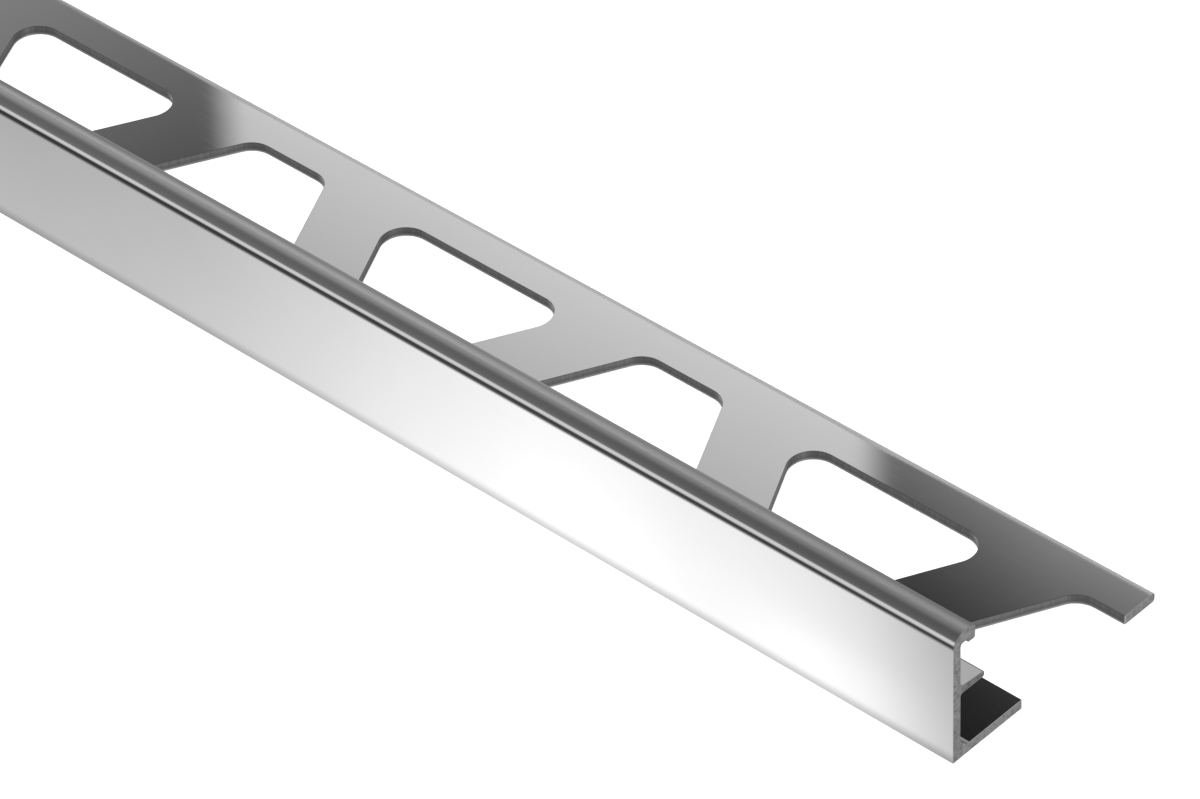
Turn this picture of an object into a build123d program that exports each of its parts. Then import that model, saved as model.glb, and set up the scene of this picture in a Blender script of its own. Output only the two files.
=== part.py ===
from build123d import *
from math import atan2, cos
import os

# Edge trim for tiles: one extruded length of polished metal with a punched anchoring leg.
# All sizes are in millimetres. X runs along the length, the face looks towards -Y,
# the leg points to +Y and +Z is up. The origin is on the underside of the leg,
# at the middle of the length and of the leg's width.

# Stock length
length = 1000.0

# Upright wall, whose outer side is the visible face
profile_height = 12.5
wall_thickness = 0.9
foot_radius = 0.05

# Anchoring leg, bedded in the adhesive under the tile
leg_width = 24.7
leg_thickness = 0.9
leg_edge_radius = 0.3
inside_radius = 1.1

# Head that covers the cut edge of the tile: a crowned top over a small drip at its rear
head_width = 2.6
head_thickness = 1.15
crown_setback = 1.45
front_fall = 0.7
rear_fall = 0.3
head_front_radius = 0.7
head_rear_radius = 0.2
throat_radius = 0.25
drip_depth = 0.35
drip_width = 0.8
drip_slant = 0.3
drip_radius = 0.2

# Spacer rib half way up the wall, which holds the tile off for the grout joint
rib_reach = 3.7
rib_top_height = 7.2
rib_root_thickness = 0.8
rib_tip_thickness = 0.55
rib_top_fall = 0.25
rib_tip_radius = 0.2
rib_root_radius = 0.25

# Perforations of the leg: rounded trapezoids that point outwards and inwards by turns
slot_long_side = 21.5
slot_short_side = 8.7
slot_depth = 12.7
slot_corner_radius = 2.25
slot_margin = 3.75
web_width = 6.87
punch_overrun = 1.0


def corner(shape, across, up):
    """The section's corner next to the point that lies so far from the face and from the floor."""
    return shape.vertices().sort_by_distance((across, up, 0))[0]


def section():
    """Cross-section, drawn with the face at 0 and the underside at 0."""
    face_top = profile_height - front_fall
    rear_top = profile_height - rear_fall
    head_underside = profile_height - head_thickness
    drip_bottom = head_underside - drip_depth
    drip_inner = head_width - drip_width
    rib_underside = rib_top_height - rib_root_thickness
    rib_tip_top = rib_top_height - rib_top_fall
    rib_tip_bottom = rib_tip_top - rib_tip_thickness
    crown = (crown_setback, profile_height)

    crown_front = TangentArc(crown, (0, face_top), tangent=(-1, 0))
    crown_rear = TangentArc(crown, (head_width, rear_top), tangent=(1, 0))
    sides = Polyline(
        (head_width, rear_top),
        (head_width, drip_bottom),
        (drip_inner, drip_bottom),
        (drip_inner - drip_slant, head_underside),
        (wall_thickness, head_underside),
        (wall_thickness, rib_top_height),
        (rib_reach, rib_tip_top),
        (rib_reach, rib_tip_bottom),
        (wall_thickness, rib_underside),
        (wall_thickness, leg_thickness),
        (leg_width, leg_thickness),
        (leg_width, 0),
        (0, 0),
        (0, face_top),
    )
    shape = make_face(crown_front + crown_rear + sides)

    rounded = [
        (0, face_top, head_front_radius),
        (head_width, rear_top, head_rear_radius),
        (head_width, drip_bottom, drip_radius),
        (drip_inner, drip_bottom, drip_radius),
        (wall_thickness, head_underside, throat_radius),
        (wall_thickness, rib_top_height, rib_root_radius),
        (rib_reach, rib_tip_top, rib_tip_radius),
        (rib_reach, rib_tip_bottom, rib_tip_radius),
        (wall_thickness, rib_underside, rib_root_radius),
        (wall_thickness, leg_thickness, inside_radius),
        (leg_width, leg_thickness, leg_edge_radius),
        (leg_width, 0, leg_edge_radius),
        (0, 0, foot_radius),
    ]
    for across, up, radius in rounded:
        shape = fillet(corner(shape, across, up), radius)
    return shape


def punch():
    """Punch for one perforation, with its long side outwards and its middle at the origin."""
    outline = Polyline(
        (-slot_long_side / 2, slot_depth / 2),
        (slot_long_side / 2, slot_depth / 2),
        (slot_short_side / 2, -slot_depth / 2),
        (-slot_short_side / 2, -slot_depth / 2),
        close=True,
    )
    trapezoid = make_face(outline)
    rounded = fillet(trapezoid.vertices(), slot_corner_radius)
    return Pos(0, 0, -punch_overrun) * extrude(rounded, leg_thickness + 2 * punch_overrun)


def slot_pitch():
    """Distance between two perforations, which leaves a web of one width between their slanted sides."""
    side_run = (slot_long_side - slot_short_side) / 2
    side_angle = atan2(side_run, slot_depth)
    return (slot_long_side + slot_short_side) / 2 + web_width / cos(side_angle)


def slot_places():
    """Places of all punches, counted from the +X end, which cuts through the middle of the first one."""
    middle_y = leg_width / 2 - slot_margin - slot_depth / 2
    last_x = -length / 2 - slot_long_side / 2
    x = length / 2
    outward = False
    while x > last_x:
        turn = 0 if outward else 180
        yield Pos(x, middle_y, 0) * Rot(0, 0, turn)
        outward = not outward
        x -= slot_pitch()


def edge_trim():
    """The extruded length with all its perforations."""
    start = Plane.YZ * Pos(-leg_width / 2, 0, 0)
    bar = Pos(-length / 2, 0, 0) * extrude(start * section(), length)
    tool = punch()
    return bar - [place * tool for place in slot_places()]


os.makedirs("parts", exist_ok=True)
export_step(edge_trim(), "parts/edge_trim.step")
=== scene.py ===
from math import acos, atan2, cos, pi, radians, sin, sqrt, tan

import bpy
from mathutils import Matrix, Vector


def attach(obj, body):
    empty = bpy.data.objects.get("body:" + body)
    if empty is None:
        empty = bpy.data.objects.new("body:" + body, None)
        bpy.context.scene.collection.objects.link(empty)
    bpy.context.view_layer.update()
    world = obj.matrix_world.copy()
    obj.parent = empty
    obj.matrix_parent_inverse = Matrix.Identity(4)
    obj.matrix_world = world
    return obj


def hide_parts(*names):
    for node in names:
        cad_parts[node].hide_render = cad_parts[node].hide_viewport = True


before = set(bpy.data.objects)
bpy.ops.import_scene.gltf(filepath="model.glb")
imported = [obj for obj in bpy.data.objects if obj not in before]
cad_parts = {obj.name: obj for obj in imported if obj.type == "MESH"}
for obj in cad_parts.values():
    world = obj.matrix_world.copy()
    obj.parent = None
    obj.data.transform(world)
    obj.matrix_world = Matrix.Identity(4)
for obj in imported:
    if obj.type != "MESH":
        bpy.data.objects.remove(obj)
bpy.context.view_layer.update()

# A length of tile edge trim in polished aluminium, lying on its punched leg.
# The trim is drawn in millimetres and brought to metres when its shape is finished.
# X runs along the length, the face looks towards -Y and the leg points to +Y.

# Stock and section
STOCK_LENGTH = 1000.0
PROFILE_HEIGHT = 12.5
WALL = 0.9
FOOT_RADIUS = 0.05
LEG_WIDTH = 24.7
LEG_THICKNESS = 0.9
LEG_EDGE_RADIUS = 0.3
INSIDE_RADIUS = 1.1

# Head over the tile's edge
HEAD_WIDTH = 2.6
HEAD_THICKNESS = 1.15
CROWN_SETBACK = 1.45
FRONT_FALL = 0.7
REAR_FALL = 0.3
HEAD_FRONT_RADIUS = 0.7
HEAD_REAR_RADIUS = 0.2
THROAT_RADIUS = 0.25
DRIP_DEPTH = 0.35
DRIP_WIDTH = 0.8
DRIP_SLANT = 0.3
DRIP_RADIUS = 0.2

# Spacer rib
RIB_REACH = 3.7
RIB_TOP = 7.2
RIB_ROOT = 0.8
RIB_TIP = 0.55
RIB_FALL = 0.25
RIB_TIP_RADIUS = 0.2
RIB_ROOT_RADIUS = 0.25

# Punched perforations, with the rim that the punch draws in and the chamfer that the saw's burr leaves
SLOT_LONG_SIDE = 21.5
SLOT_SHORT_SIDE = 8.7
SLOT_DEPTH = 12.7
SLOT_CORNER_RADIUS = 2.25
SLOT_MARGIN = 3.75
WEB = 6.87
ROLLED_RIM = 0.03
ROLLED_RIM_STEPS = 2
SAW_CHAMFER = 0.03
SAW_LEAN = 1.0
SAW_PIVOT = 2.5

SIDE_ANGLE = atan2((SLOT_LONG_SIDE - SLOT_SHORT_SIDE) / 2, SLOT_DEPTH)
PITCH = (SLOT_LONG_SIDE + SLOT_SHORT_SIDE) / 2 + WEB / cos(SIDE_ANGLE)
SLOT_MIDDLE = LEG_WIDTH / 2 - SLOT_MARGIN - SLOT_DEPTH / 2
FACE_Y = -LEG_WIDTH / 2
END_X = STOCK_LENGTH / 2
MM_PER_METRE = 1000.0

# How finely it is drawn: degrees per step of a round, the radius under which a round is small,
# and the sharpest turn that is still smoothed
ROUND_STEP = 7
SMALL_ROUND_STEP = 14
SMALL_ROUND = 0.5
SMOOTHED_TURN = 35

# What counts as one place, as flat, as square to an axis, and as near a cut end or a perforation
NEAR = 1e-4
FLAT = 0.99999
SQUARE_ON = 0.99
CUT_ZONE = 0.5
RIM_ZONE = 0.2


# Tools for drawing and shaping


def edit_mode(selection):
    bpy.ops.object.mode_set(mode="EDIT")
    bpy.ops.mesh.select_mode(type=selection)


def object_mode():
    bpy.ops.object.mode_set(mode="OBJECT")


def pick_only(*pieces):
    """Selects these pieces and nothing else. The first one becomes the active piece."""
    bpy.ops.object.select_all(action="DESELECT")
    for piece in pieces:
        piece.select_set(True)
    bpy.context.view_layer.objects.active = pieces[0]


def select_edges(piece, wanted):
    """In edit mode, selects the edges for whose two end points wanted(point) holds."""
    edit_mode("EDGE")
    bpy.ops.mesh.select_all(action="DESELECT")
    object_mode()
    points = piece.data.vertices
    for edge in piece.data.edges:
        edge.select = all(wanted(points[end].co) for end in edge.vertices)
    bpy.ops.object.mode_set(mode="EDIT")


def select_faces(piece, wanted):
    """In edit mode, selects the faces for which wanted(face) holds."""
    edit_mode("FACE")
    bpy.ops.mesh.select_all(action="DESELECT")
    object_mode()
    for face in piece.data.polygons:
        face.select = wanted(face)
    bpy.ops.object.mode_set(mode="EDIT")


def line_to(point):
    return ("line", Vector(point), 0.0)


def arc_round(centre, turn):
    """Arc round a centre. A positive turn is counter-clockwise."""
    return ("arc", Vector(centre), turn)


def rounded(before, corner, after, radius):
    """The moves that reach a corner and go round it."""
    before, corner, after = Vector(before), Vector(corner), Vector(after)
    if radius == 0:
        return [line_to(corner)]
    back = (before - corner).normalized()
    ahead = (after - corner).normalized()
    inner = acos(back.dot(ahead))
    centre = corner + (back + ahead).normalized() * radius / sin(inner / 2)
    side = ahead.x * back.y - ahead.y * back.x
    turn = (pi - inner) * (1 if side > 0 else -1)
    return [line_to(corner + back * radius / tan(inner / 2)), arc_round(centre, turn)]


def draw_outline(name, start, moves, lay, axis):
    """Draws a closed outline by extruding and spinning one point.

    lay(point) puts a drawn point in its place, and axis is what the arcs turn about.
    """
    bpy.ops.object.select_all(action="DESELECT")
    bpy.ops.mesh.primitive_plane_add(size=1.0, location=(0, 0, 0))
    piece = bpy.context.object
    piece.name = name
    edit_mode("VERT")
    bpy.ops.mesh.select_all(action="SELECT")
    bpy.ops.mesh.merge(type="CENTER")
    bpy.ops.transform.translate(value=lay(start))
    at = Vector(start)
    for kind, point, turn in moves:
        if kind == "line":
            step = lay(point) - lay(at)
            if step.length > NEAR:
                bpy.ops.mesh.extrude_region_move(TRANSFORM_OT_translate={"value": step})
            at = point
        else:
            arm = at - point
            step_angle = radians(SMALL_ROUND_STEP if arm.length < SMALL_ROUND else ROUND_STEP)
            steps = max(3, round(abs(turn) / step_angle))
            bpy.ops.mesh.spin(
                steps=steps, angle=-turn, center=lay(point), axis=axis, dupli=False, use_auto_merge=False
            )
            arm.rotate(Matrix.Rotation(turn, 2))
            at = point + arm
    bpy.ops.mesh.select_all(action="SELECT")
    bpy.ops.mesh.remove_doubles(threshold=NEAR)
    return piece


def laid_in_leg(middle_x, turned):
    """Puts a drawn point of a perforation on the leg's top. A turned one has its long side inwards."""
    sign = -1 if turned else 1

    def lay(point):
        return Vector((middle_x + sign * point[0], SLOT_MIDDLE + sign * point[1], LEG_THICKNESS))

    return lay


# Pieces


def draw_section(at_x):
    """The section's outline, standing across the trim at one place along its length."""
    face_top = PROFILE_HEIGHT - FRONT_FALL
    head_underside = PROFILE_HEIGHT - HEAD_THICKNESS
    drip_bottom = head_underside - DRIP_DEPTH
    drip_inner = HEAD_WIDTH - DRIP_WIDTH
    rib_tip_top = RIB_TOP - RIB_FALL
    rear_run = HEAD_WIDTH - CROWN_SETBACK
    front_arc = (CROWN_SETBACK**2 + FRONT_FALL**2) / (2 * FRONT_FALL)
    rear_arc = (rear_run**2 + REAR_FALL**2) / (2 * REAR_FALL)

    crown_front = Vector((CROWN_SETBACK, PROFILE_HEIGHT - front_arc))
    crown_rear = Vector((CROWN_SETBACK, PROFILE_HEIGHT - rear_arc))
    front_x = HEAD_FRONT_RADIUS
    front_rise = sqrt((front_arc - HEAD_FRONT_RADIUS) ** 2 - (CROWN_SETBACK - front_x) ** 2)
    front_round = Vector((front_x, crown_front.y + front_rise))
    rear_x = HEAD_WIDTH - HEAD_REAR_RADIUS
    rear_rise = sqrt((rear_arc - HEAD_REAR_RADIUS) ** 2 - (rear_x - CROWN_SETBACK) ** 2)
    rear_round = Vector((rear_x, crown_rear.y + rear_rise))
    front_lean = atan2(CROWN_SETBACK - front_x, front_rise)
    rear_lean = atan2(rear_x - CROWN_SETBACK, rear_rise)

    corners = [
        ((HEAD_WIDTH, drip_bottom), DRIP_RADIUS),
        ((drip_inner, drip_bottom), DRIP_RADIUS),
        ((drip_inner - DRIP_SLANT, head_underside), 0),
        ((WALL, head_underside), THROAT_RADIUS),
        ((WALL, RIB_TOP), RIB_ROOT_RADIUS),
        ((RIB_REACH, rib_tip_top), RIB_TIP_RADIUS),
        ((RIB_REACH, rib_tip_top - RIB_TIP), RIB_TIP_RADIUS),
        ((WALL, RIB_TOP - RIB_ROOT), RIB_ROOT_RADIUS),
        ((WALL, LEG_THICKNESS), INSIDE_RADIUS),
        ((LEG_WIDTH, LEG_THICKNESS), LEG_EDGE_RADIUS),
        ((LEG_WIDTH, 0), LEG_EDGE_RADIUS),
        ((0, 0), FOOT_RADIUS),
    ]
    places = [(HEAD_WIDTH, rear_round.y)] + [place for place, radius in corners] + [(0, face_top)]

    moves = [arc_round(crown_rear, -rear_lean), arc_round(rear_round, rear_lean - pi / 2)]
    for index, (place, radius) in enumerate(corners):
        moves += rounded(places[index], place, places[index + 2], radius)
    moves += [line_to((0, front_round.y)), arc_round(front_round, front_lean - pi / 2)]
    moves += [arc_round(crown_front, -front_lean)]

    def lay(point):
        return Vector((at_x, FACE_Y + point[0], point[1]))

    return draw_outline("polished_trim", (CROWN_SETBACK, PROFILE_HEIGHT), moves, lay, (1, 0, 0))


def perforation(middle_x, turned):
    """The rim and walls of one rounded trapezoid, punched down through the leg."""
    grown = ROLLED_RIM / cos(SIDE_ANGLE)
    skew = ROLLED_RIM * tan(SIDE_ANGLE)
    long_half = SLOT_LONG_SIDE / 2 + grown + skew
    short_half = SLOT_SHORT_SIDE / 2 + grown - skew
    half_depth = SLOT_DEPTH / 2 + ROLLED_RIM
    corners = [
        (long_half, half_depth),
        (-long_half, half_depth),
        (-short_half, -half_depth),
        (short_half, -half_depth),
    ]
    radius = SLOT_CORNER_RADIUS + ROLLED_RIM
    moves = []
    for index, corner in enumerate(corners):
        moves += rounded(corners[index - 1], corner, corners[(index + 1) % 4], radius)
    start = moves[0][1]
    slot = draw_outline("perforation", start, moves, laid_in_leg(middle_x, turned), (0, 0, 1))
    bpy.ops.mesh.edge_face_add()
    object_mode()
    facing_up = slot.data.polygons[0].normal.z > 0
    edit_mode("FACE")
    bpy.ops.mesh.select_all(action="SELECT")
    if not facing_up:
        bpy.ops.mesh.flip_normals()
    for step in range(ROLLED_RIM_STEPS):
        above = step * pi / 2 / ROLLED_RIM_STEPS
        below = (step + 1) * pi / 2 / ROLLED_RIM_STEPS
        inwards = ROLLED_RIM * (sin(below) - sin(above))
        down = ROLLED_RIM * (cos(above) - cos(below))
        bpy.ops.mesh.inset(thickness=inwards, depth=-down)
    drop = ROLLED_RIM - LEG_THICKNESS
    bpy.ops.mesh.extrude_region_move(TRANSFORM_OT_translate={"value": (0, 0, drop)})
    bpy.ops.mesh.delete(type="ONLY_FACE")
    object_mode()
    return slot


def fill_level(piece, height):
    """Fills the flat of the leg at one height, round the perforations."""
    select_edges(piece, lambda point: abs(point.z - height) < NEAR)
    bpy.ops.mesh.fill(use_beauty=True)
    object_mode()


def saw_ends(piece):
    """Saws both ends off and leaves the small chamfer of a wiped burr round them.

    The cut at the +X end leans back by SAW_LEAN degrees towards its top, about a line SAW_PIVOT high,
    as a hand-held saw leaves it.
    """
    chamfer_x = END_X - SAW_CHAMFER
    for side, lean in ((1, radians(SAW_LEAN)), (-1, 0.0)):
        edit_mode("VERT")
        bpy.ops.mesh.select_all(action="SELECT")
        bpy.ops.mesh.bisect(
            plane_co=(side * chamfer_x, 0, SAW_PIVOT),
            plane_no=(side * cos(lean), 0, sin(lean)),
            use_fill=True,
            clear_outer=True,
            threshold=NEAR,
        )
        object_mode()
    edit_mode("FACE")
    bpy.ops.mesh.select_all(action="SELECT")
    bpy.ops.mesh.normals_make_consistent(inside=False)
    object_mode()
    select_faces(
        piece, lambda face: abs(face.center.x) > END_X - CUT_ZONE and abs(face.normal.x) > SQUARE_ON
    )
    bpy.ops.mesh.inset(thickness=SAW_CHAMFER, depth=SAW_CHAMFER)
    object_mode()


def model_trim():
    """The whole length: two perforations and their piece of section, repeated, then sawn at both ends."""
    first_x = END_X
    repeat_length = 2 * PITCH
    trim = draw_section(first_x + PITCH / 2)
    edit_mode("EDGE")
    bpy.ops.mesh.select_all(action="SELECT")
    bpy.ops.mesh.extrude_edges_move(TRANSFORM_OT_translate={"value": (-repeat_length, 0, 0)})
    object_mode()
    over_half_leg = LEG_WIDTH / 2 * repeat_length
    select_faces(trim, lambda face: abs(face.normal.z) > FLAT and face.area > over_half_leg)
    bpy.ops.mesh.delete(type="ONLY_FACE")
    object_mode()

    inward = perforation(first_x, True)
    outward = perforation(first_x - PITCH, False)
    pick_only(trim, inward, outward)
    bpy.ops.object.join()
    fill_level(trim, LEG_THICKNESS)
    fill_level(trim, 0.0)

    repeat = trim.modifiers.new("repeat", "ARRAY")
    repeat.count = int(STOCK_LENGTH / repeat_length) + 2
    repeat.use_relative_offset = False
    repeat.use_constant_offset = True
    repeat.constant_offset_displace = (-repeat_length, 0, 0)
    repeat.use_merge_vertices = True
    repeat.merge_threshold = NEAR
    bpy.ops.object.modifier_apply(modifier="repeat")

    saw_ends(trim)
    return trim


def finish_shape(piece):
    """Smooths the rounds of a drawn piece, keeps its flats flat and brings it to metres."""
    select_faces(piece, lambda face: max(abs(face.normal.y), abs(face.normal.z)) > FLAT)
    bpy.ops.mesh.mod_weighted_strength(set=True, face_strength="STRONG")
    object_mode()
    pick_only(piece)
    bpy.ops.object.shade_smooth_by_angle(angle=radians(SMOOTHED_TURN))
    level = piece.modifiers.new("level flats", "WEIGHTED_NORMAL")
    level.weight = 100
    level.keep_sharp = True
    level.use_face_influence = True
    bpy.ops.object.modifier_apply(modifier="level flats")
    piece.scale = (1 / MM_PER_METRE, 1 / MM_PER_METRE, 1 / MM_PER_METRE)
    bpy.ops.object.transform_apply(location=True, rotation=True, scale=True)


def give_finish(piece, material, wanted):
    """Gives one finish to the faces for which wanted(face) holds. The first one covers the whole piece."""
    piece.data.materials.append(material)
    slot = len(piece.data.materials) - 1
    if slot:
        select_faces(piece, wanted)
        piece.active_material_index = slot
        bpy.ops.object.material_slot_assign()
        object_mode()


# Finishes


def new_node(tree, kind, values=None, **settings):
    """A node with its settings, and with its input sockets set by name or number."""
    node = tree.nodes.new("ShaderNode" + kind)
    for name, value in settings.items():
        setattr(node, name, value)
    for name, value in (values or {}).items():
        node.inputs[name].default_value = value
    return node


def calculate(tree, operation, first, second=0.0, third=0.0, clamp=False):
    """A Math node's result. Each term is a number or an output socket."""
    node = new_node(tree, "Math", operation=operation, use_clamp=clamp)
    for socket, term in zip(node.inputs, (first, second, third)):
        if isinstance(term, (int, float)):
            socket.default_value = term
        else:
            tree.links.new(term, socket)
    return node.outputs[0]


def product(tree, first, *others):
    """Masks or values multiplied together. Each is a number or an output socket."""
    result = first
    for other in others:
        result = calculate(tree, "MULTIPLY", result, other)
    return result


def ramp_between(tree, value, low, high, to_low=0.0, to_high=1.0, smooth=True):
    """A value eased from one level to another. Each bound is a number or an output socket."""
    kind = "SMOOTHSTEP" if smooth else "LINEAR"
    node = new_node(tree, "MapRange", interpolation_type=kind, clamp=True)
    tree.links.new(value, node.inputs["Value"])
    bounds = {"From Min": low, "From Max": high, "To Min": to_low, "To Max": to_high}
    for name, bound in bounds.items():
        if isinstance(bound, (int, float)):
            node.inputs[name].default_value = bound
        else:
            tree.links.new(bound, node.inputs[name])
    return node.outputs["Result"]


def mask_between(tree, value, rise, fall):
    """A mask that eases in over one stretch of a value and out again over a later one."""
    return product(tree, ramp_between(tree, value, *rise), ramp_between(tree, value, *fall, 1.0, 0.0))


def choose(tree, mask, outside, inside):
    """One value where a mask is 0 and another where it is 1. Each is a number or an output socket."""
    kept = calculate(tree, "MULTIPLY", calculate(tree, "SUBTRACT", 1.0, mask), outside)
    return calculate(tree, "MULTIPLY_ADD", mask, inside, kept)


def blend(tree, mask, first, second):
    """Between two greys by a mask. Each grey is a number or an output socket."""
    node = new_node(tree, "Mix", data_type="RGBA")
    tree.links.new(mask, node.inputs[0])
    for socket, grey in ((node.inputs[6], first), (node.inputs[7], second)):
        if isinstance(grey, (int, float)):
            socket.default_value = (grey, grey, grey, 1.0)
        else:
            tree.links.new(grey, socket)
    return node.outputs[2]


def along_axis(tree, place, axis, start=0.0, towards=1):
    """How many millimetres a place lies from a start along one axis, towards one side."""
    parts = new_node(tree, "SeparateXYZ")
    tree.links.new(place, parts.inputs[0])
    return calculate(tree, "MULTIPLY_ADD", parts.outputs[axis], towards * MM_PER_METRE, -towards * start)


def new_group(name, inputs, outputs):
    """An empty node group with named sockets. Returns the group and its input and output nodes."""
    group = bpy.data.node_groups.new(name, "ShaderNodeTree")
    for socket, kind, value in inputs:
        kind = "NodeSocket" + kind
        made = group.interface.new_socket(name=socket, in_out="INPUT", socket_type=kind)
        if value is not None:
            made.default_value = value
    for socket, kind in outputs:
        group.interface.new_socket(name=socket, in_out="OUTPUT", socket_type="NodeSocket" + kind)
    return group, group.nodes.new("NodeGroupInput"), group.nodes.new("NodeGroupOutput")


def use_group(tree, group, vector, **values):
    """Places a node group, fed with a vector and its own values. An underscore stands for a space."""
    node = tree.nodes.new("ShaderNodeGroup")
    node.node_tree = group
    tree.links.new(vector, node.inputs["Vector"])
    for name, value in values.items():
        node.inputs[name.replace("_", " ")].default_value = value
    return node


def draw_lines_group():
    """Fine parallel lines along one direction, as a die, a saw or a shear leaves them."""
    group, given, result = new_group(
        "Tool Lines",
        [
            ("Vector", "Vector", None),
            ("Lines per Metre", "Float", 4000.0),
            ("Stretch", "Vector", (0.01, 1.0, 1.0)),
            ("Waviness", "Float", 0.2),
        ],
        [("Height", "Float"), ("Mask", "Float")],
    )
    stretched = new_node(group, "VectorMath", operation="MULTIPLY")
    group.links.new(given.outputs["Vector"], stretched.inputs[0])
    group.links.new(given.outputs["Stretch"], stretched.inputs[1])
    fine = new_node(group, "TexNoise", {"Detail": 3.0, "Roughness": 0.6})
    group.links.new(stretched.outputs[0], fine.inputs["Vector"])
    group.links.new(given.outputs["Lines per Metre"], fine.inputs["Scale"])
    group.links.new(given.outputs["Waviness"], fine.inputs["Distortion"])
    broad = new_node(group, "TexNoise", {"Detail": 2.0})
    group.links.new(stretched.outputs[0], broad.inputs["Vector"])
    fewer = calculate(group, "MULTIPLY", given.outputs["Lines per Metre"], 0.22)
    group.links.new(fewer, broad.inputs["Scale"])
    height = calculate(group, "MULTIPLY_ADD", broad.outputs["Fac"], 0.5, fine.outputs["Fac"])
    group.links.new(height, result.inputs["Height"])
    group.links.new(ramp_between(group, fine.outputs["Fac"], 0.42, 0.62), result.inputs["Mask"])
    return group


def mottle_group():
    """Soft patches, as handling, oxide and uneven polish leave them on bare metal."""
    group, given, result = new_group(
        "Metal Mottle",
        [("Vector", "Vector", None), ("Patches per Metre", "Float", 60.0), ("Contrast", "Float", 0.3)],
        [("Mask", "Float")],
    )
    patches = new_node(group, "TexNoise", {"Detail": 5.0, "Roughness": 0.62})
    group.links.new(given.outputs["Vector"], patches.inputs["Vector"])
    group.links.new(given.outputs["Patches per Metre"], patches.inputs["Scale"])
    low = calculate(group, "SUBTRACT", 0.5, given.outputs["Contrast"])
    high = calculate(group, "ADD", 0.5, given.outputs["Contrast"])
    group.links.new(ramp_between(group, patches.outputs["Fac"], low, high), result.inputs["Mask"])
    return group


def rub_marks_group():
    """Faint short rub marks that lie nearly along one direction, in sparse patches."""
    group, given, result = new_group(
        "Rub Marks",
        [
            ("Vector", "Vector", None),
            ("Marks per Metre", "Float", 900.0),
            ("Stretch", "Vector", (0.04, 1.0, 1.0)),
        ],
        [("Mask", "Float")],
    )
    stretched = new_node(group, "VectorMath", operation="MULTIPLY")
    group.links.new(given.outputs["Vector"], stretched.inputs[0])
    group.links.new(given.outputs["Stretch"], stretched.inputs[1])
    marks = new_node(group, "TexNoise", {"Detail": 2.0, "Distortion": 0.15})
    group.links.new(stretched.outputs[0], marks.inputs["Vector"])
    group.links.new(given.outputs["Marks per Metre"], marks.inputs["Scale"])
    sparse = new_node(group, "TexNoise", {"Scale": 55.0, "Detail": 2.0})
    group.links.new(given.outputs["Vector"], sparse.inputs["Vector"])
    kept = ramp_between(group, sparse.outputs["Fac"], 0.5, 0.66)
    rubbed = ramp_between(group, marks.outputs["Fac"], 0.6, 0.72)
    group.links.new(calculate(group, "MULTIPLY", rubbed, kept), result.inputs["Mask"])
    return group


def start_finish(name):
    """A material with an empty metal shader.

    Returns the material, its tree, its shader and the object coordinates.
    """
    material = bpy.data.materials.new(name)
    material.use_nodes = True
    tree = material.node_tree
    shader = tree.nodes["Principled BSDF"]
    shader.inputs["Metallic"].default_value = 1.0
    coordinates = new_node(tree, "TexCoord")
    return material, tree, shader, coordinates.outputs["Object"]


def add_bump(tree, shader, height, strength, distance):
    bump = new_node(tree, "Bump", {"Strength": strength, "Distance": distance})
    tree.links.new(height, bump.inputs["Height"])
    tree.links.new(bump.outputs["Normal"], shader.inputs["Normal"])


# Where the polish differs. Lengths are in millimetres: heights over the floor, depths behind the face
# and distances from the sawn end at +X. A pair of them is the stretch over which the look eases.

# Front of the trim, as against the back of the wall
FRONT_DEPTH = (0.3, 0.5)

# Painted dark reflection line under the head, which starts higher near the sawn end and darkens away from it
DARK_REFLECTION_LINE_BOTTOM = (11.09, 11.47)
DARK_REFLECTION_LINE_TOP = (11.68, 11.84)
DARK_REFLECTION_LINE_THINS = (0.0, 36.0)
DARK_REFLECTION_LINE_RAISED = (0.08, -0.03)
DARK_REFLECTION_LINE_DARKENS = (20.0, 110.0)
DARK_REFLECTION_LINE_GREYS = (0.07, 0.035)

# Painted shade along the foot of the face, a little darker near the sawn end
FOOT_HEIGHT = 1.25
FOOT_CHANGES = (45.0, 65.0)
FOOT_SHADE_SHARES = (0.6, 0.5)

# Painted highlight: a brighter patch low on the face near the sawn end
HIGHLIGHT_PATCH_START = (-2.0, 10.0)
HIGHLIGHT_PATCH_END = (12.0, 24.0)
HIGHLIGHT_PATCH_TOP = (3.0, 7.5)
HIGHLIGHT_PATCH_SHARE = 0.9

# Painted highlight as a pale strip along the leg's outer edge, weaker far from the sawn end, and painted
# shade as the dark line outside it
EDGE_HIGHLIGHT_DEPTH = (LEG_WIDTH - 0.75, LEG_WIDTH - 0.25)
EDGE_HIGHLIGHT_FADES = (92.0, 112.0)
EDGE_HIGHLIGHT_SHARES = (1.0, 0.5)
OUTERMOST_DEPTH = (LEG_WIDTH - 0.2, LEG_WIDTH - 0.05)
OUTERMOST_SHARE = 0.6

# Painted highlight on the top of the rib, and painted shade as the darker strip round its tip
RIB_TOP_START = (RIB_TOP - 0.45, RIB_TOP - 0.3)
RIB_TOP_END = (RIB_TOP + 0.1, RIB_TOP + 0.3)
RIB_DEPTH = (WALL + 0.1, WALL + 0.3)
RIB_TIP_HEIGHT = (RIB_TOP - RIB_ROOT - 0.5, RIB_TOP - RIB_ROOT - 0.3)
RIB_TIP_DEPTH = (RIB_REACH - 0.3, RIB_REACH - 0.15)
RIB_TIP_SHARE = 0.6

# Head, which is polished a little softer
HEAD_START = (PROFILE_HEIGHT - HEAD_THICKNESS - 0.1, PROFILE_HEIGHT - HEAD_THICKNESS + 0.1)

# Greys of the polished metal, and of its painted highlights and painted shade
POLISH_GREYS = (0.895, 0.926)
RUB_MARK_GREY = 0.85
RUB_MARK_SHARE = 0.3
PAINTED_HIGHLIGHT_GREY = 1.0
PAINTED_SHADE_GREY = 0.3
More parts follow.
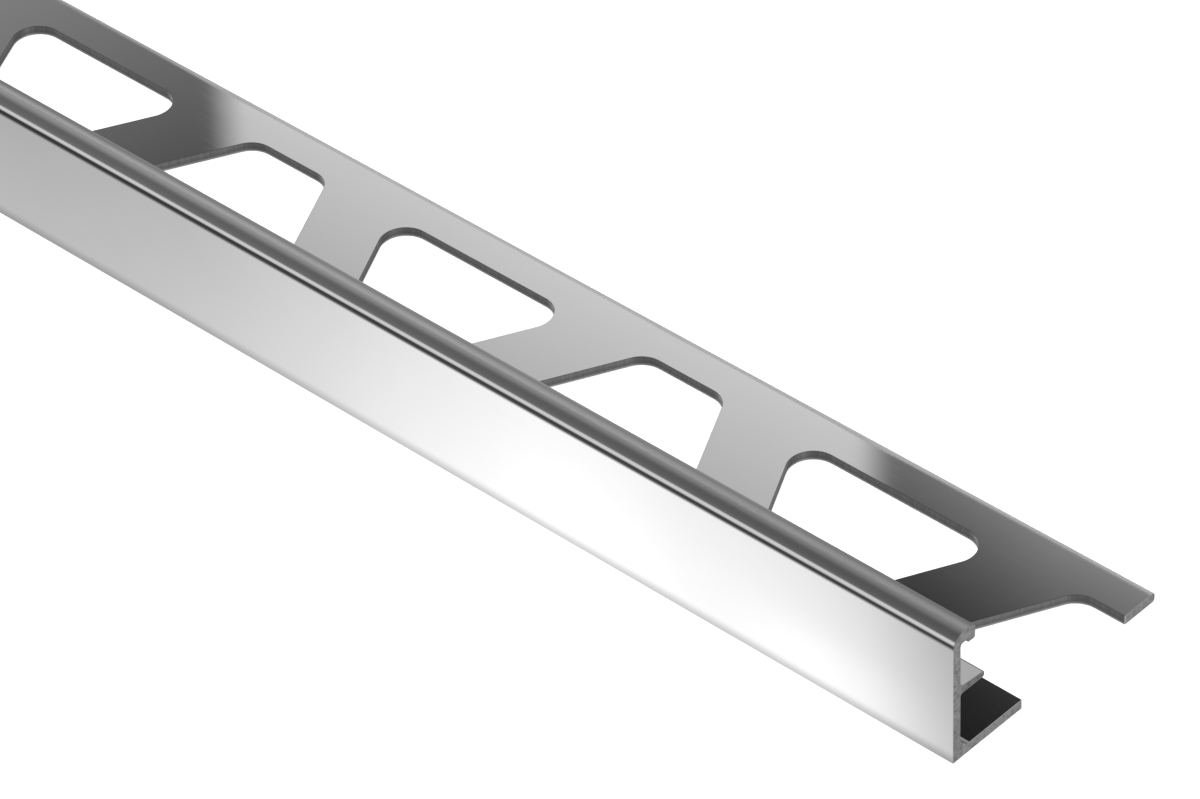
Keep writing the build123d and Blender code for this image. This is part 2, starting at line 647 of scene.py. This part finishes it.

# Roughness of the polish, and what draw lines, rub marks, the head and the painted highlight strip add to it
POLISH_ROUGHNESS = (0.025, 0.035)
DRAW_LINE_ROUGHNESS = 0.006
RUB_MARK_ROUGHNESS = 0.03
HEAD_ROUGHNESS = 0.17
EDGE_HIGHLIGHT_ROUGHNESS = 0.28

# How much less the painted highlight strip shines like bare metal
EDGE_HIGHLIGHT_METAL_LOSS = 0.36


def polished_finish(lines, mottle, rubs):
    """Mirror-polished aluminium with faint draw lines along its length and light handling marks.

    The head is polished a little softer. A dark reflection line along the face under the head and shade
    along the face's foot are painted in, and a painted highlight brightens a patch low on the face near
    the sawn end. The leg's outer edge has a painted highlight as a paler, softer strip, with painted shade
    as a dark line outermost. The rib has a painted highlight on top and painted shade round its tip.
    """
    material, tree, shader, place = start_finish("polished aluminium")
    drawn = use_group(tree, lines, place, Lines_per_Metre=5200.0, Stretch=(0.004, 1.0, 1.0), Waviness=0.0)
    patches = use_group(tree, mottle, place, Patches_per_Metre=26.0, Contrast=0.22)
    marks = use_group(tree, rubs, place, Marks_per_Metre=900.0, Stretch=(0.04, 1.0, 1.0))
    height = along_axis(tree, place, "Z")
    depth = along_axis(tree, place, "Y", start=FACE_Y)
    from_end = along_axis(tree, place, "X", start=END_X, towards=-1)

    front = ramp_between(tree, depth, *FRONT_DEPTH, 1.0, 0.0)
    # Painted dark reflection line along the face under the head, put into the base colour
    raised = ramp_between(tree, from_end, *DARK_REFLECTION_LINE_THINS, *DARK_REFLECTION_LINE_RAISED, smooth=False)
    over_start = ramp_between(tree, calculate(tree, "SUBTRACT", height, raised), *DARK_REFLECTION_LINE_BOTTOM)
    dark_reflection_line = product(tree, over_start, ramp_between(tree, height, *DARK_REFLECTION_LINE_TOP, 1.0, 0.0), front)
    # Painted shade along the foot of the face
    foot_shade_share = ramp_between(tree, from_end, *FOOT_CHANGES, *FOOT_SHADE_SHARES)
    foot = product(tree, ramp_between(tree, height, 0.0, FOOT_HEIGHT, 1.0, 0.0), foot_shade_share, front)
    # Painted highlight: a brighter patch low on the face near the sawn end
    near_end = mask_between(tree, from_end, HIGHLIGHT_PATCH_START, HIGHLIGHT_PATCH_END)
    highlight_patch = product(tree, near_end, HIGHLIGHT_PATCH_SHARE, ramp_between(tree, height, *HIGHLIGHT_PATCH_TOP, 1.0, 0.0), front)

    # Painted highlight: a paler, softer strip along the leg's outer edge
    edge_highlight_fades = ramp_between(tree, from_end, *EDGE_HIGHLIGHT_FADES, *EDGE_HIGHLIGHT_SHARES)
    edge_highlight = product(tree, ramp_between(tree, depth, *EDGE_HIGHLIGHT_DEPTH), edge_highlight_fades)
    # Painted shade: a dark line along the leg's outermost edge
    outermost = ramp_between(tree, depth, *OUTERMOST_DEPTH, 0.0, OUTERMOST_SHARE)
    # Painted highlight on the top of the rib
    at_rib_top = mask_between(tree, height, RIB_TOP_START, RIB_TOP_END)
    rib_top_highlight = product(tree, at_rib_top, ramp_between(tree, depth, *RIB_DEPTH))
    # Painted shade round the tip of the rib
    over_tip_start = ramp_between(tree, height, *RIB_TIP_HEIGHT)
    rib_tip_shade = product(tree, over_tip_start, ramp_between(tree, depth, *RIB_TIP_DEPTH))

    grey = blend(tree, patches.outputs["Mask"], *POLISH_GREYS)
    grey = blend(tree, product(tree, marks.outputs["Mask"], RUB_MARK_SHARE), grey, RUB_MARK_GREY)
    # The painted highlights and painted shade are mixed into the grey here
    grey = blend(tree, highlight_patch, grey, PAINTED_HIGHLIGHT_GREY)
    grey = blend(tree, foot, grey, PAINTED_SHADE_GREY)
    grey = blend(tree, calculate(tree, "ADD", edge_highlight, rib_top_highlight, clamp=True), grey, PAINTED_HIGHLIGHT_GREY)
    darker = calculate(tree, "MULTIPLY_ADD", rib_tip_shade, RIB_TIP_SHARE, outermost, clamp=True)
    grey = blend(tree, darker, grey, PAINTED_SHADE_GREY)
    reflection_line_grey = blend(tree, ramp_between(tree, from_end, *DARK_REFLECTION_LINE_DARKENS), *DARK_REFLECTION_LINE_GREYS)
    tree.links.new(blend(tree, dark_reflection_line, grey, reflection_line_grey), shader.inputs["Base Color"])

    head = ramp_between(tree, height, *HEAD_START)
    rough = ramp_between(tree, patches.outputs["Mask"], 0.0, 1.0, *POLISH_ROUGHNESS, smooth=False)
    rough = calculate(tree, "MULTIPLY_ADD", drawn.outputs["Mask"], DRAW_LINE_ROUGHNESS, rough)
    rough = calculate(tree, "MULTIPLY_ADD", marks.outputs["Mask"], RUB_MARK_ROUGHNESS, rough)
    rough = calculate(tree, "MULTIPLY_ADD", head, HEAD_ROUGHNESS, rough)
    rough = calculate(tree, "MULTIPLY_ADD", edge_highlight, EDGE_HIGHLIGHT_ROUGHNESS, rough, clamp=True)
    tree.links.new(rough, shader.inputs["Roughness"])
    bare = calculate(tree, "MULTIPLY_ADD", edge_highlight, -EDGE_HIGHLIGHT_METAL_LOSS, 1.0)
    tree.links.new(bare, shader.inputs["Metallic"])
    add_bump(tree, shader, drawn.outputs["Height"], strength=0.0015, distance=0.00002)
    return material


# Where painted shade darkens the cut ends a little: behind the wall on the rib, and at the wall's foot, in
# millimetres. A pair is the stretch over which the shade eases.
BEHIND_WALL = (WALL - 0.1, WALL + 0.3)
RIB_CUT_START = (RIB_TOP - RIB_ROOT - 0.7, RIB_TOP - RIB_ROOT - 0.3)
RIB_CUT_END = (RIB_TOP + 0.3, RIB_TOP + 0.7)
RIB_CUT_SHADE = 0.32
FOOT_CUT_HEIGHT = (3.0, 4.5)
FOOT_CUT_SHADE = 0.13

# Greys and roughness of the cut ends
SAWN_GREYS = (0.19, 0.4)
SAW_MARK_GREY = 0.46
SAW_MARK_SHARE = 0.4
SHADED_CUT_GREY = 0.02
SAWN_ROUGHNESS = (0.3, 0.46)

# How far the saw marks are turned from the axes of the section, in degrees
SAW_MARK_TURN = 24


def sawn_finish(lines, mottle):
    """The cut ends: bare sawn aluminium with fine slanted saw marks.

    The cut of the rib and of the wall's foot is darkened a little with painted shade.
    """
    material, tree, shader, place = start_finish("sawn end")
    turned = new_node(tree, "VectorRotate", {"Angle": radians(SAW_MARK_TURN)}, rotation_type="X_AXIS")
    tree.links.new(place, turned.inputs["Vector"])
    marks = use_group(
        tree, lines, turned.outputs[0], Lines_per_Metre=7000.0, Stretch=(1.0, 0.12, 1.0), Waviness=0.5
    )
    patches = use_group(tree, mottle, place, Patches_per_Metre=2600.0, Contrast=0.16)
    height = along_axis(tree, place, "Z")
    behind_wall = ramp_between(tree, along_axis(tree, place, "Y", start=FACE_Y), *BEHIND_WALL)
    # Painted shade on the cut of the rib behind the wall and on the cut of the wall's foot
    rib = product(tree, mask_between(tree, height, RIB_CUT_START, RIB_CUT_END), RIB_CUT_SHADE)
    foot = ramp_between(tree, height, *FOOT_CUT_HEIGHT, FOOT_CUT_SHADE, 0.0)

    grey = blend(tree, patches.outputs["Mask"], *SAWN_GREYS)
    grey = blend(tree, product(tree, marks.outputs["Mask"], SAW_MARK_SHARE), grey, SAW_MARK_GREY)
    grey = blend(tree, choose(tree, behind_wall, foot, rib), grey, SHADED_CUT_GREY)
    tree.links.new(grey, shader.inputs["Base Color"])
    rough = ramp_between(tree, patches.outputs["Mask"], 0.0, 1.0, *SAWN_ROUGHNESS, smooth=False)
    tree.links.new(rough, shader.inputs["Roughness"])
    add_bump(tree, shader, marks.outputs["Height"], strength=0.35, distance=0.00004)
    return material


# Walls of the perforations, in millimetres: where the torn part passes into the burnished one, how
# far that edge sways down, and how high the painted highlight at the wall's foot reaches
TORN_TOP = (0.5, 0.68)
TORN_SWAY = 0.16
FOOT_HIGHLIGHT_TOP = 0.28

# Their greys, kept low as partly painted shade of the perforations, and roughness, the roughness from torn to
# burnished
TORN_SHADED_GREYS = (0.125, 0.145)
BURNISHED_SHADED_GREYS = (0.13, 0.155)
FOOT_HIGHLIGHT_GREY = 0.5
FOOT_HIGHLIGHT_SHARE = 0.6
SHEARED_ROUGHNESS = (0.5, 0.4)


def sheared_finish(lines, mottle):
    """The walls of the perforations: burnished above, torn and darker below, with greys partly of painted
    shade and a painted highlight as a paler band at the foot.
    """
    material, tree, shader, place = start_finish("sheared wall")
    streaks = use_group(
        tree, lines, place, Lines_per_Metre=5200.0, Stretch=(1.0, 1.0, 0.05), Waviness=0.1
    )
    patches = use_group(tree, mottle, place, Patches_per_Metre=1500.0, Contrast=0.2)
    height = along_axis(tree, place, "Z")
    swayed = calculate(tree, "MULTIPLY_ADD", patches.outputs["Mask"], TORN_SWAY, height)
    burnished = ramp_between(tree, swayed, *TORN_TOP)
    # The low torn and burnished greys are partly painted shade of the perforations
    torn = blend(tree, streaks.outputs["Mask"], *TORN_SHADED_GREYS)
    smooth = blend(tree, streaks.outputs["Mask"], *BURNISHED_SHADED_GREYS)
    wall = blend(tree, burnished, torn, smooth)
    # Painted highlight: a paler band at the foot of the walls
    foot_highlight = ramp_between(tree, height, 0.0, FOOT_HIGHLIGHT_TOP, FOOT_HIGHLIGHT_SHARE, 0.0)
    tree.links.new(blend(tree, foot_highlight, wall, FOOT_HIGHLIGHT_GREY), shader.inputs["Base Color"])
    rough = ramp_between(tree, burnished, 0.0, 1.0, *SHEARED_ROUGHNESS, smooth=False)
    tree.links.new(rough, shader.inputs["Roughness"])
    add_bump(tree, shader, streaks.outputs["Height"], strength=0.1, distance=0.00004)
    return material


def in_slot(face):
    """Whether a face of the finished trim belongs to the wall or the rim of a perforation."""
    depth = face.center.y * MM_PER_METRE - FACE_Y
    slot_end = LEG_WIDTH - SLOT_MARGIN
    across = slot_end - SLOT_DEPTH - RIM_ZONE < depth < slot_end + RIM_ZONE
    between_cuts = abs(face.center.x) * MM_PER_METRE < END_X - SAW_CHAMFER
    return across and between_cuts and abs(face.normal.z) < SQUARE_ON


def at_saw_cut(face):
    """Whether a face of the finished trim belongs to a cut end."""
    return abs(face.normal.x) > SQUARE_ON and abs(face.center.x) * MM_PER_METRE > END_X - CUT_ZONE


trim = model_trim()
finish_shape(trim)
tool_lines = draw_lines_group()
metal_mottle = mottle_group()
give_finish(trim, polished_finish(tool_lines, metal_mottle, rub_marks_group()), None)
give_finish(trim, sheared_finish(tool_lines, metal_mottle), in_slot)
give_finish(trim, sawn_finish(tool_lines, metal_mottle), at_saw_cut)
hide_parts("edge_trim")
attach(trim, "root")


# Studio

# The lean of a direction is measured round the trim from straight up, positive to the rear and negative
# to the front. Its bearing is measured from straight across the trim towards its far end. Both are in
# degrees. Its run is how far it goes towards the sawn end, from -1 to 1. A pair of leans, bearings or
# runs is the stretch over which the light eases, from the first to the second of a pair of levels.
# Where two such pairs stand together, a part sets in over the first and ends over the second.

# Brightness of the bands by their lean
BANDS = [
    (-180, 1.5),
    (-168, 1.45),
    (-152, 0.55),
    (-143, 0.81),
    (-100, 0.55),
    (-84, 0.60),
    (-62, 0.70),
    (-45, 0.30),
    (-30, 0.13),
    (-4, 0.12),
    (22, 0.26),
    (30, 0.32),
    (40, 0.31),
    (49.6, 0.29),
    (51.2, 0.68),
    (53.2, 0.29),
    (60, 0.33),
    (72, 0.20),
    (84, 0.28),
    (100, 0.46),
    (118, 0.66),
    (152, 0.69),
    (180, 1.5),
]

# Soft stripes across the front bands: their first bearing, their pitch and their brightness along it
FRONT_START = 38.3
STRIPE_PITCH = 14.65
FRONT_STRIPES = [
    (0.0, 0.63),
    (0.09, 1.0),
    (0.15, 1.2),
    (0.29, 1.3),
    (0.38, 1.4),
    (0.46, 1.3),
    (0.58, 1.03),
    (0.69, 0.79),
    (0.84, 0.65),
    (1.0, 0.63),
]
FRONT_LEANS = ((-150.0, -143.0), (-112.0, -95.0))

# Slope of the light over the little that the upright face shows of it
FACE_BEARINGS = (38.5, 43.0)
FACE_SLOPES = (0.24, 0.13)
FACE_LEANS = (-139.9, -138.9)
FACE_LEVELS = (0.45, -0.55)
FACE_LEANS_END = (-137.0, -125.0)

# Change of the overhead bands along the trim
TOP_LEANS = ((-50.0, -30.0), (40.0, 80.0))
TOP_RUNS = (-0.58, -0.475)
TOP_CHANGES = (0.06, -0.34)

# Dimming of the rear bands towards both ends of what the camera sees
REAR_LEANS_START = (66.0, 96.0)
REAR_LEANS_END = (150.0, 165.0)
NEARER_RUNS = (-0.505, -0.48)
NEARER_RUNS_END = (-0.4, -0.3)
NEARER_DIMMING = 0.8
FURTHER_RUNS = (-0.64, -0.59)
FURTHER_DIMMING = 0.6

# Row of light and dark boxes above the leg: the bearing of a light one's middle, the cosine at its edge
# with the blur to each side, then the levels of the light boxes, of the dark one near the sawn end and
# of the dark one far from it. A dark box's rise is what it gains towards the rear.
BOX_MIDDLE = 44.035
BOX_EDGE = -0.22
BOX_BLUR = 0.09
BOX_LEANS = ((38.2, 39.2), (43.6, 46.0))
LIGHT_BOX_LEANS = (40.2, 43.6)
LIGHT_BOX_LEVELS = (0.36, 0.7)
DARK_BOX_LEANS = (39.5, 43.4)
NEAR_BOX_FLOOR = 0.012
NEAR_BOX_RISE = 0.3
NEAR_BOX_BEARINGS = (37.4, 40.0)
NEAR_BOX_LEVELS = (1.17, 0.68)
FAR_BOX_RISE = 0.2
FAR_BOX_FLOOR = 0.03
FAR_BOX_BEARINGS = (48.0, 52.8)
FAR_BOX_LEVELS = (-0.06, 0.16)
FAR_BOX_START = (43.5, 44.5)

# How bright the floor looks to the camera beyond its light
FLOOR_GLOW = 0.7

# Lamp: its place and size in metres and its power
SOFTBOX_PLACE = (0.3, -0.2, 1.6)
SOFTBOX_SIZE = (1.8, 1.2)
SOFTBOX_WATTS = 18.0

# Camera: its place in metres, its bearing, steepness and roll in degrees, its sensor and lens in
# millimetres
CAMERA_PLACE = (0.69096, -0.25067, 0.28429)
CAMERA_BEARING = 43.537
CAMERA_STEEPNESS = 39.148
CAMERA_ROLL = 1.822
CAMERA_SENSOR = 36.0
CAMERA_LENS = 165.04


def brightness_ramp(tree, value, stops, curve):
    """Brightness by a value from 0 to 1, curved between stops of (value, brightness up to 2)."""
    ramp = new_node(tree, "ValToRGB")
    ramp.color_ramp.interpolation = curve
    tree.links.new(value, ramp.inputs[0])
    made = ramp.color_ramp.elements
    for index, (position, brightness) in enumerate(stops):
        stop = made[index] if index < 2 else made.new(position)
        stop.position = position
        stop.color = (brightness / 2, brightness / 2, brightness / 2, 1.0)
    return calculate(tree, "MULTIPLY", ramp.outputs["Color"], 2.0)


def changed_within(tree, mask, change):
    """A factor that is 1 outside a mask, and 1 plus the change within it."""
    return calculate(tree, "MULTIPLY_ADD", change, mask, 1.0)


def stripes_of_front(tree, lean, bearing):
    """Factor of the stripes that cross the front bands, and of their slope over the upright face."""
    front_part = mask_between(tree, lean, *FRONT_LEANS)
    turns = calculate(tree, "DIVIDE", calculate(tree, "SUBTRACT", bearing, FRONT_START), STRIPE_PITCH)
    stripes = brightness_ramp(tree, calculate(tree, "FRACT", turns), FRONT_STRIPES, "CARDINAL")
    striped = changed_within(tree, front_part, calculate(tree, "SUBTRACT", stripes, 1.0))
    slope = product(
        tree,
        ramp_between(tree, bearing, *FACE_BEARINGS, *FACE_SLOPES),
        ramp_between(tree, lean, *FACE_LEANS, *FACE_LEVELS, smooth=False),
        ramp_between(tree, lean, *FACE_LEANS_END, 1.0, 0.0),
    )
    return product(tree, striped, changed_within(tree, front_part, slope))


def change_of_top(tree, lean, run):
    """Factor by which the overhead bands change along the trim."""
    top_part = mask_between(tree, lean, *TOP_LEANS)
    return changed_within(tree, top_part, ramp_between(tree, run, *TOP_RUNS, *TOP_CHANGES, smooth=False))


def dimming_of_rear(tree, lean, run):
    """Factor by which the rear bands dim near the sawn end and far from it."""
    rear_part = product(
        tree,
        ramp_between(tree, lean, *REAR_LEANS_START, smooth=False),
        ramp_between(tree, lean, *REAR_LEANS_END, 1.0, 0.0),
    )
    nearer = product(
        tree,
        ramp_between(tree, run, *NEARER_RUNS, 0.0, -NEARER_DIMMING, smooth=False),
        ramp_between(tree, run, *NEARER_RUNS_END, 1.0, 0.0),
    )
    further = ramp_between(tree, run, *FURTHER_RUNS, -FURTHER_DIMMING, 0.0, smooth=False)
    return changed_within(tree, rear_part, calculate(tree, "ADD", nearer, further))


def row_of_boxes(tree, lean, bearing):
    """Brightness of the row of light and dark boxes."""
    from_middle = calculate(tree, "SUBTRACT", bearing, BOX_MIDDLE)
    swing = calculate(tree, "MULTIPLY", from_middle, 2 * pi / STRIPE_PITCH)
    turned = calculate(tree, "COSINE", swing)
    is_light = ramp_between(tree, turned, BOX_EDGE - BOX_BLUR, BOX_EDGE + BOX_BLUR, smooth=False)
    light_box = ramp_between(tree, lean, *LIGHT_BOX_LEANS, *LIGHT_BOX_LEVELS, smooth=False)

    rise = ramp_between(tree, lean, *DARK_BOX_LEANS, smooth=False)
    steep_rise = calculate(tree, "POWER", rise, 3.0)
    near_level = calculate(tree, "MULTIPLY_ADD", steep_rise, NEAR_BOX_RISE, NEAR_BOX_FLOOR)
    near_fade = ramp_between(tree, bearing, *NEAR_BOX_BEARINGS, *NEAR_BOX_LEVELS, smooth=False)
    far_fade = ramp_between(tree, bearing, *FAR_BOX_BEARINGS, *FAR_BOX_LEVELS, smooth=False)
    far_level = calculate(tree, "MULTIPLY_ADD", rise, FAR_BOX_RISE, far_fade)
    far_box = calculate(tree, "MAXIMUM", far_level, FAR_BOX_FLOOR)
    is_far = ramp_between(tree, bearing, *FAR_BOX_START)
    dark_box = choose(tree, is_far, product(tree, near_level, near_fade), far_box)
    return choose(tree, is_light, dark_box, light_box)


def studio_light():
    """Light for a long bright profile: soft bands that run along it, brighter and darker by turns."""
    world = bpy.data.worlds.new("studio")
    bpy.context.scene.world = world
    world.use_nodes = True
    tree = world.node_tree
    tree.nodes.clear()
    direction = new_node(tree, "TexCoord")
    parts = new_node(tree, "SeparateXYZ")
    tree.links.new(direction.outputs["Generated"], parts.inputs[0])
    run, across, up = parts.outputs
    lean = calculate(tree, "MULTIPLY", calculate(tree, "ARCTAN2", across, up), 180 / pi)
    flat_across = calculate(tree, "ABSOLUTE", across)
    backwards = calculate(tree, "MULTIPLY", run, -1.0)
    bearing = calculate(tree, "MULTIPLY", calculate(tree, "ARCTAN2", backwards, flat_across), 180 / pi)

    bands = [((lean_stop + 180) / 360, brightness) for lean_stop, brightness in BANDS]
    level = product(
        tree,
        brightness_ramp(tree, ramp_between(tree, lean, -180.0, 180.0, smooth=False), bands, "EASE"),
        stripes_of_front(tree, lean, bearing),
        change_of_top(tree, lean, run),
        dimming_of_rear(tree, lean, run),
    )
    in_row = mask_between(tree, lean, *BOX_LEANS)
    level = choose(tree, in_row, level, row_of_boxes(tree, lean, bearing))

    seen = new_node(tree, "LightPath")
    level = calculate(tree, "MAXIMUM", level, seen.outputs["Is Camera Ray"])
    background = new_node(tree, "Background", {"Strength": 1.0})
    tree.links.new(level, background.inputs["Color"])
    output = new_node(tree, "OutputWorld")
    tree.links.new(background.outputs[0], output.inputs[0])


def lay_floor():
    """A plain pale floor. It shows white to the camera and keeps a soft shadow of the trim."""
    bpy.ops.object.select_all(action="DESELECT")
    bpy.ops.mesh.primitive_plane_add(size=60.0, location=(0, 0, 0))
    floor = bpy.context.object
    floor.name = "floor"
    material = bpy.data.materials.new("pale floor")
    material.use_nodes = True
    tree = material.node_tree
    tree.nodes.clear()
    paper = new_node(tree, "BsdfDiffuse", {"Color": (0.9, 0.9, 0.9, 1.0)})
    glow = new_node(tree, "Emission", {"Color": (1.0, 1.0, 1.0, 1.0)})
    seen = new_node(tree, "LightPath")
    shown = calculate(tree, "MULTIPLY", seen.outputs["Is Camera Ray"], FLOOR_GLOW)
    tree.links.new(shown, glow.inputs["Strength"])
    both = new_node(tree, "AddShader")
    tree.links.new(paper.outputs[0], both.inputs[0])
    tree.links.new(glow.outputs[0], both.inputs[1])
    output = new_node(tree, "OutputMaterial")
    tree.links.new(both.outputs[0], output.inputs["Surface"])
    floor.data.materials.append(material)
    floor.visible_glossy = False


def hang_softbox():
    """One wide soft lamp overhead, for the shadow on the floor."""
    bpy.ops.object.light_add(type="AREA", location=SOFTBOX_PLACE)
    lamp = bpy.context.object
    lamp.name = "overhead softbox"
    lamp.data.shape = "RECTANGLE"
    lamp.data.size, lamp.data.size_y = SOFTBOX_SIZE
    lamp.data.energy = SOFTBOX_WATTS
    lamp.visible_glossy = False
    lamp.visible_camera = False


def set_camera():
    """A long lens at the photograph's viewing angle, near the sawn end."""
    bearing, steepness, roll = radians(CAMERA_BEARING), radians(CAMERA_STEEPNESS), radians(CAMERA_ROLL)
    ahead = Vector((-sin(bearing) * cos(steepness), cos(bearing) * cos(steepness), -sin(steepness)))
    level_right = Vector((cos(bearing), sin(bearing), 0.0))
    level_down = ahead.cross(level_right)
    right = level_right * cos(roll) + level_down * sin(roll)
    down = level_down * cos(roll) - level_right * sin(roll)
    camera = bpy.data.objects.new("camera", bpy.data.cameras.new("camera"))
    bpy.context.scene.collection.objects.link(camera)
    turn = Matrix((right, -down, -ahead)).transposed().to_4x4()
    camera.matrix_world = Matrix.Translation(CAMERA_PLACE) @ turn
    camera.data.sensor_width = CAMERA_SENSOR
    camera.data.lens = CAMERA_LENS
    camera.data.clip_start = 0.01
    camera.data.clip_end = 100.0
    bpy.context.scene.camera = camera


studio_light()
lay_floor()
hang_softbox()
set_camera()
bpy.context.scene.view_settings.view_transform = "Standard"
